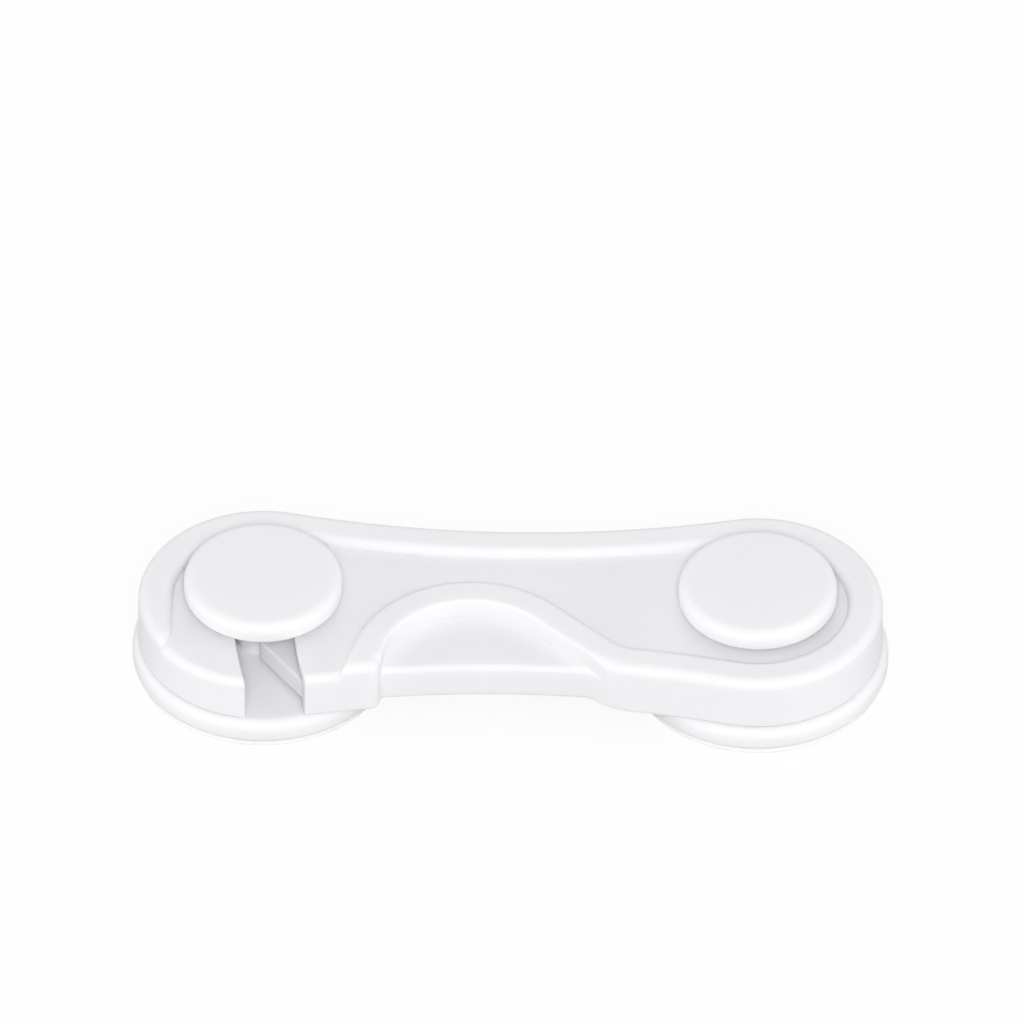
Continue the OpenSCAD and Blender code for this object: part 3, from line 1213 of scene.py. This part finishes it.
    def guide_outline(self) -> Outline:
        """Wall round the far side of the catch post and along the slot.

        Returns:
            The outline.
        """
        pivot, catch, start = self.layout.pivot, self.layout.catch, self.seat_start
        spacing, last = 2.0 * self.half_spacing, 180.0 + self.guide_sweep
        inner = self.slot_radius - self.slot_lip_radius
        outer = self.slot_radius + self.guide
        return Outline.of(
            Arc(catch, outer, start, 180.0),
            Arc(pivot, spacing + outer, 180.0, last),
            Line(polar(pivot, spacing + outer, last), polar(pivot, spacing + inner, last)),
            Arc(pivot, spacing + inner, last, 180.0),
            Arc(catch, inner, 180.0, start),
            Line(polar(catch, inner, start), polar(catch, outer, start)),
        )

    def rib_path(self) -> list[Point]:
        """Centre line of the rib from the thumb recess to the post's seat.

        Returns:
            Its start, knee and end.
        """
        half, seat = self.half_spacing, self.slot_radius + self.guide / 2.0
        start = polar(self.arch, self.arch_radius + self.plate, self.rib_start_angle)
        knee = (self.rib_knee[0] * half, self.rib_knee[1] * half)
        return [start, knee, polar(self.layout.catch, seat, self.rib_seat_angle)]

    def back_rib(self, share: float) -> Outline:
        """Short rib on the inside of the back wall.

        Args:
            share: Its place, as a share of half the distance between the posts.

        Returns:
            The outline.
        """
        across = share * self.half_spacing
        inside = self.side_centre - math.sqrt((self.side_radius + self.wall) ** 2 - across**2)
        path = [(across, inside - self.back_rib_reach), (across, inside + self.wall / 2.0)]
        return Outline.strip(path, self.back_rib_thick)

    def top_steps(self) -> list[Step]:
        """Cuts and additions that shape the upper side.

        The field's open front is cut through and filled again with a lower shelf, and the thumb
        recess with a ledge. Each filling is a hair smaller than the body, so that no two walls
        lie in one plane.

        Returns:
            The steps in their order.
        """
        low, high, foot = self.layout.lever_low, self.layout.lever_high, self.foot_radius
        under, field, tuck = self.under, self.field_high, self.tuck
        shelf = solid_profile(low + tuck, field + tuck, foot, self.mouth_radius)
        ledge = solid_profile(low + 2.0 * tuck, self.recess_high, foot, self.ledge_radius)
        recess = cutter_profile(under, high, self.recess_lip_radius)
        return [
            (self.mouth_outline(), cutter_profile(under, high), Join.CUT),
            (self.body_outline(tuck), shelf, Join.ADD),
            (self.recess_outline(), recess, Join.CUT),
            (self.body_outline(2.0 * tuck), ledge, Join.ADD),
            (self.field_outline(), cutter_profile(field, high, self.field_lip_radius), Join.CUT),
        ]

    def inner_steps(self) -> list[Step]:
        """Hollow, hub, guide wall and ribs beneath, and then the bore, the slot and a groove.

        Returns:
            The steps in their order.
        """
        low, high, foot = self.layout.lever_low, self.layout.lever_high, self.foot_radius
        pivot, under, ceiling = self.layout.pivot, self.under, self.ceiling
        inside = ceiling + self.plate / 2.0
        recess_under = self.recess_high - self.plate
        groove_high = float(Layout.box("latch_finger")[1][2]) + self.knuckle_groove_gap
        hub = solid_profile(low, high, foot, foot)
        rib = solid_profile(low, inside, foot, foot)
        short_rib = solid_profile(ceiling - self.back_rib_drop, inside, foot, foot)
        bore = cutter_profile(under, high, self.bore_lip_radius)
        slot = cutter_profile(under, self.field_high, self.slot_lip_radius)
        groove = Outline.circle(self.layout.finger_root, self.knuckle_groove_radius)
        return [
            (self.body_outline(self.wall), pocket_profile(under, recess_under), Join.CUT),
            (self.hollow_outline(), pocket_profile(recess_under - OVERRUN, ceiling), Join.CUT),
            (Outline.circle(pivot, self.hub_radius), hub, Join.ADD),
            (self.guide_outline(), rib, Join.ADD),
            (Outline.strip(self.rib_path(), self.guide), rib, Join.ADD),
            *((self.back_rib(share), short_rib, Join.ADD) for share in self.back_rib_places),
            (Outline.circle(pivot, self.bore_radius), bore, Join.CUT),
            (self.slot_outline(), slot, Join.CUT),
            (groove, pocket_profile(under, groove_high), Join.CUT),
        ]

    def build(self) -> bpy.types.Object:
        """Carries the outline up into a body and takes it through its steps.

        Returns:
            The lever's mesh object.
        """
        low, high = self.layout.lever_low, self.layout.lever_high
        rounded = solid_profile(low, high, self.foot_radius, self.edge_radius)
        piece = loft(self.body_outline(0.0), rounded).mesh_object("lever_moulding", 1.0)
        for outline, profile, join in self.top_steps() + self.inner_steps():
            combine(piece, loft(outline, profile), join)
        piece.data.transform(Matrix.Scale(MM, 4))
        return piece

    def dress(self, piece: bpy.types.Object, finishes: Finishes) -> bpy.types.Object:
        """Gives the lever its plastic and its place in the frame."""
        return dress_piece(piece, "lever_body", Body.LEVER, Slot.PLASTIC, finishes)


@dataclass(frozen=True)
class LatchFinger:
    """The bending finger that stands slantwise in the slot, in front of the catch post.

    Lengths are in millimetres and angles in degrees.
    """

    layout: Layout
    thick: float = 1.2
    knuckle_radius: float = 0.9
    post_radius: float = 3.7
    post_gap: float = 0.35
    direction: float = 127.0
    wedge: float = 26.0
    corner_radius: float = 0.45
    edge_radius: float = 0.3

    def outline(self) -> Outline:
        """Round knuckle and a wedge with a slanting face, in plan.

        The wedge's end is an arc about the knuckle, so that it keeps its distance from the post
        as it bends. Round corners of radius c touch that arc and the faces, at R - c from the
        knuckle.

        Returns:
            The outline.
        """
        root, knuckle = self.layout.finger_root, self.knuckle_radius
        half, corner = self.thick / 2.0, self.corner_radius
        face, back = self.direction, self.direction - self.wedge
        reach = math.dist(root, self.layout.catch) - self.post_radius - self.post_gap
        neck = math.degrees(math.asin(half / knuckle))
        aside = math.degrees(math.asin((half - corner) / (reach - corner)))
        face_c = polar(root, reach - corner, face + aside)
        back_c = polar(root, reach - corner, back - aside)
        face_neck, back_neck = polar(root, knuckle, face + neck), polar(root, knuckle, back - neck)
        return Outline.of(
            Arc(root, knuckle, face + neck, back - neck + 360.0),
            Line(back_neck, polar(back_c, corner, back - 90.0)),
            Arc(back_c, corner, back - 90.0, back - aside),
            Arc(root, reach, back - aside, face + aside),
            Arc(face_c, corner, face + aside, face + 90.0),
            Line(polar(face_c, corner, face + 90.0), face_neck),
        )

    def build(self) -> bpy.types.Object:
        """Carries the outline up between the heights of the finger's CAD node.

        Returns:
            The finger's mesh object.
        """
        low, high = Layout.box("latch_finger")
        edge = self.edge_radius
        profile = solid_profile(float(low[2]), float(high[2]), edge, edge)
        return loft(self.outline(), profile).mesh_object("latch_blade")

    def dress(self, piece: bpy.types.Object, finishes: Finishes) -> bpy.types.Object:
        """Gives the finger its plastic and its place in the frame."""
        return dress_piece(piece, "latch_finger", Body.FINGER, Slot.PLASTIC, finishes)


@dataclass(frozen=True)
class Mounting:
    """Base disc with its post, cap, foam pad and release paper, at one end of the lock.

    Lengths are in millimetres.
    """

    layout: Layout
    end: End
    disc_thick: float = 3.2
    disc_top_radius: float = 1.5
    disc_low_radius: float = 0.6
    post_radius: float = 3.7
    post_root_radius: float = 0.25
    bore_radius: float = 2.1
    bore_depth: float = 7.4
    chamfer: float = 0.2
    cap_thick: float = 3.1
    cap_top_radius: float = 1.4
    cap_low_radius: float = 0.5
    cap_crown: float = 0.15
    cap_skirt: float = 2.2
    cap_groove: float = 1.3
    stem_radius: float = 2.05
    stem_length: float = 6.5
    foam_waist: float = 0.18
    foam_fill: float = 1.0

    def node(self, kind: Kind) -> str:
        """Name of this end's CAD node of a kind."""
        return f"{self.end.value}_{kind.value}"

    def piece_name(self, kind: Kind) -> str:
        """Name of this end's piece of a kind."""
        return f"{self.end.value}_{kind.name.lower()}"

    def measure(self, kind: Kind) -> tuple[float, float, float]:
        """Radius, lowest and highest height of this end's CAD node of a kind."""
        low, high = Layout.box(self.node(kind))
        return float(high[0] - low[0]) / 2.0, float(low[2]), float(high[2])

    def disc_profile(self) -> np.ndarray:
        """Disc with a full, round edge and a hollow post with a small root fillet.

        Returns:
            K x 2 pairs of radius and height.
        """
        radius, bottom, top = self.measure(Kind.DISC)
        face = bottom + self.disc_thick
        root, soft = self.post_radius, self.post_root_radius
        bore, chamfer = self.bore_radius, self.chamfer
        post = [
            [root, top - chamfer],
            [root - chamfer, top],
            [bore + chamfer, top],
            [bore, top - chamfer],
            [bore, top - self.bore_depth],
            [0.0, top - self.bore_depth],
        ]
        lower = low_edge(radius, bottom, self.disc_low_radius)
        upper = high_edge(radius, face, self.disc_top_radius)
        fillet = bend(root + soft, face + soft, soft, 270.0, 180.0)
        return np.concatenate(([[0.0, bottom]], lower, upper, fillet, post))

    def cap_profile(self) -> np.ndarray:
        """Stem, groove beneath, round lower edge, round upper edge and a gently crowned top.

        The crown falls with the square of the share of the radius.

        Returns:
            K x 2 pairs of radius and height.
        """
        radius, _, top = self.measure(Kind.CAP)
        under, shoulder = top - self.cap_thick, top - self.cap_crown
        foot, groove = under - self.stem_length, under + self.cap_groove
        inner, outer = self.post_radius + self.cap_skirt / 2.0, radius - self.cap_skirt
        stem = [
            [0.0, foot],
            [self.stem_radius - self.chamfer, foot],
            [self.stem_radius, foot + self.chamfer],
            [self.stem_radius, under],
            [inner, under],
            [inner, groove],
            [outer, groove],
            [outer, under],
        ]
        lower = low_edge(radius, under, self.cap_low_radius)
        upper = high_edge(radius, shoulder, self.cap_top_radius)
        share = np.linspace(1.0, 0.0, EDGE_STEPS)[1:]
        across = (radius - self.cap_top_radius) * share
        crown = np.stack((across, shoulder + self.cap_crown * (1.0 - share**2)), axis=1)
        return np.concatenate((stem, lower, upper, crown))

    def foam_profile(self) -> np.ndarray:
        """Thin disc whose cut edge is drawn in a little at half height, as a parabola.

        Returns:
            K x 2 pairs of radius and height.
        """
        radius, bottom, top = self.measure(Kind.FOAM)
        share = np.linspace(-1.0, 1.0, 2 * EDGE_STEPS + 1)
        middle, half = (bottom + top) / 2.0, (top - bottom) / 2.0
        across = radius - self.foam_waist * (1.0 - share**2)
        edge = np.stack((across, middle + half * share), axis=1)
        return np.concatenate(([[0.0, bottom]], edge, [[0.0, top]]))

    def paper_profile(self) -> np.ndarray:
        """Thin flat disc of paper, as pairs of radius and height."""
        radius, bottom, top = self.measure(Kind.RELEASE_PAPER)
        return np.array([[0.0, bottom], [radius, bottom], [radius, top], [0.0, top]])

    def build(self) -> dict[Kind, bpy.types.Object]:
        """Revolves the four pieces of this end about its post.

        Returns:
            The mesh objects by their kinds.
        """
        profiles = {
            Kind.DISC: self.disc_profile(),
            Kind.CAP: self.cap_profile(),
            Kind.FOAM: self.foam_profile(),
            Kind.RELEASE_PAPER: self.paper_profile(),
        }
        post = self.layout.post(self.end)
        return {
            kind: revolve(profile, post).mesh_object(self.piece_name(kind))
            for kind, profile in profiles.items()
        }

    def dress(
        self, pieces: dict[Kind, bpy.types.Object], finishes: Finishes
    ) -> list[bpy.types.Object]:
        """Gives the pieces their finishes and their places in the frame.

        Args:
            pieces: The mesh objects by their kinds.
            finishes: The materials by their slots.

        Returns:
            The pieces.
        """
        for kind, piece in pieces.items():
            dress_piece(piece, self.node(kind), Body.BASES, kind.slot, finishes)
        return list(pieces.values())


@dataclass(frozen=True)
class Lamp:
    """Square soft box that faces the lock, with lengths in metres and its power in watts."""

    name: str
    place: tuple[float, float, float]
    side: float
    power: float

    def build(self) -> None:
        """Hangs the lamp in its place."""
        data = bpy.data.lights.new(self.name, "AREA")
        data.shape = "SQUARE"
        data.size = self.side
        data.energy = self.power
        lamp = bpy.data.objects.new(self.name, data)
        lamp.location = self.place
        lamp.rotation_euler = (-Vector(self.place)).to_track_quat("-Z", "Y").to_euler()
        bpy.context.scene.collection.objects.link(lamp)


@dataclass(frozen=True)
class Studio:
    """Pale floor, soft light and the camera.

    The camera's distances and the floor's width are in metres, the floor's drop is in
    millimetres and angles are in degrees.
    """

    elevation: float = 42.7
    yaw: float = 1.28
    distance: float = 5.0
    clip_near: float = 0.05
    clip_far: float = 50.0
    image: float = 1024.0
    pixels_per_mm: float = 7.43
    origin_pixel: Point = (510.5, 662.7)
    sensor: float = 36.0
    white: Colour = (1.0, 1.0, 1.0, 1.0)
    floor_half: float = 3.0
    floor_drop: float = 0.02
    floor_tone: Colour = (0.95, 0.95, 0.95, 1.0)
    floor_bounce: Colour = (0.64, 0.64, 0.64, 1.0)
    floor_roughness: float = 0.9
    floor_glow_share: float = 0.9
    sky: Colour = (0.97, 0.975, 1.0, 1.0)
    sky_strength: float = 0.53
    lamps: tuple[Lamp, ...] = (
        Lamp("front_box", (0.05, -1.48, 1.34), 0.5, 19.9),
        Lamp("left_box", (-1.5, -0.15, 0.2), 0.7, 5.8),
        Lamp("right_box", (1.5, -0.15, 0.2), 0.7, 5.8),
        Lamp("back_box", (0.0, 1.6, 0.4), 0.7, 4.0),
    )

    def build(self) -> None:
        """Sets the view transform and makes floor, world, lamps and camera."""
        bpy.context.scene.view_settings.view_transform = "Standard"
        self.floor()
        self.world()
        for lamp in self.lamps:
            lamp.build()
        self.camera()

    def floor(self) -> None:
        """Wide flat floor that is nearly white to the camera and still takes the lock's shadow."""
        half, low = self.floor_half / MM, -self.floor_drop
        plan = ((-half, -half), (half, -half), (half, half), (-half, half))
        corners = np.array([(*corner, low) for corner in plan])
        floor = Shape(corners, [[0, 1, 2, 3]]).mesh_object("floor")
        surface = Surface("pale_floor")
        surface.fill(surface.shader, Roughness=self.floor_roughness)
        glow = surface.add("ShaderNodeEmission", Color=self.white, Strength=1.0)
        path = surface.add("ShaderNodeLightPath")
        surface.tint(path, "Is Camera Ray", self.floor_bounce, self.floor_tone)
        share = surface.arithmetic(
            Arithmetic.MULTIPLY, path, "Is Camera Ray", self.floor_glow_share
        )
        mixed = surface.mix(share, "Value", surface.shader, glow)
        surface.link(mixed, "Shader", surface.output, "Surface")
        floor.data.materials.append(surface.material)

    def world(self) -> None:
        """Even pale sky that lights the lock, white to the camera."""
        world = bpy.data.worlds.new("studio")
        world.use_nodes = True
        bpy.context.scene.world = world
        graph = Graph(world.node_tree)
        light = graph.add("ShaderNodeBackground", Color=self.sky, Strength=self.sky_strength)
        seen = graph.add("ShaderNodeBackground", Color=self.white)
        path = graph.add("ShaderNodeLightPath")
        mixed = graph.mix(path, "Is Camera Ray", light, seen)
        output = graph.add("ShaderNodeOutputWorld")
        graph.link(mixed, "Shader", output, "Surface")

    def camera(self) -> None:
        """Long lens at the viewing angle, moved so that the origin lands on its pixel."""
        rise, yaw = math.radians(self.elevation), math.radians(self.yaw)
        level = math.cos(rise)
        back = Vector((math.sin(yaw) * level, -math.cos(yaw) * level, math.sin(rise)))
        right = Vector((math.cos(yaw), math.sin(yaw), 0.0))
        up = back.cross(right)
        metre = MM / self.pixels_per_mm
        aside = (self.origin_pixel[0] - self.image / 2.0) * metre
        below = (self.origin_pixel[1] - self.image / 2.0) * metre
        data = bpy.data.cameras.new("camera")
        data.sensor_width = self.sensor
        data.lens = self.sensor * self.distance / (self.image * metre)
        data.clip_start, data.clip_end = self.clip_near, self.clip_far
        camera = bpy.data.objects.new("camera", data)
        camera.location = back * self.distance - right * aside + up * below
        camera.rotation_mode = "QUATERNION"
        camera.rotation_quaternion = (-back).to_track_quat("-Z", "Y")
        bpy.context.scene.collection.objects.link(camera)
        bpy.context.scene.camera = camera


def main() -> None:
    """Loads the frame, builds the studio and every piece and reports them."""
    logging.basicConfig(level=logging.INFO, format="%(name)s %(message)s")
    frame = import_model()
    layout = Layout.read(frame)
    finishes: Finishes = {
        Slot.PLASTIC: PlasticFinish().material(),
        Slot.FOAM: FoamFinish().material(),
        Slot.LINER: LinerFinish().material(),
    }
    Studio().build()
    lever, finger = Lever(layout), LatchFinger(layout)
    pieces = [lever.dress(lever.build(), finishes), finger.dress(finger.build(), finishes)]
    for end in End:
        mounting = Mounting(layout, end)
        pieces += mounting.dress(mounting.build(), finishes)
    for piece in pieces:
        LOG.info("%s: %d faces", piece.name, len(piece.data.polygons))


if __name__ == "__main__":
    main()
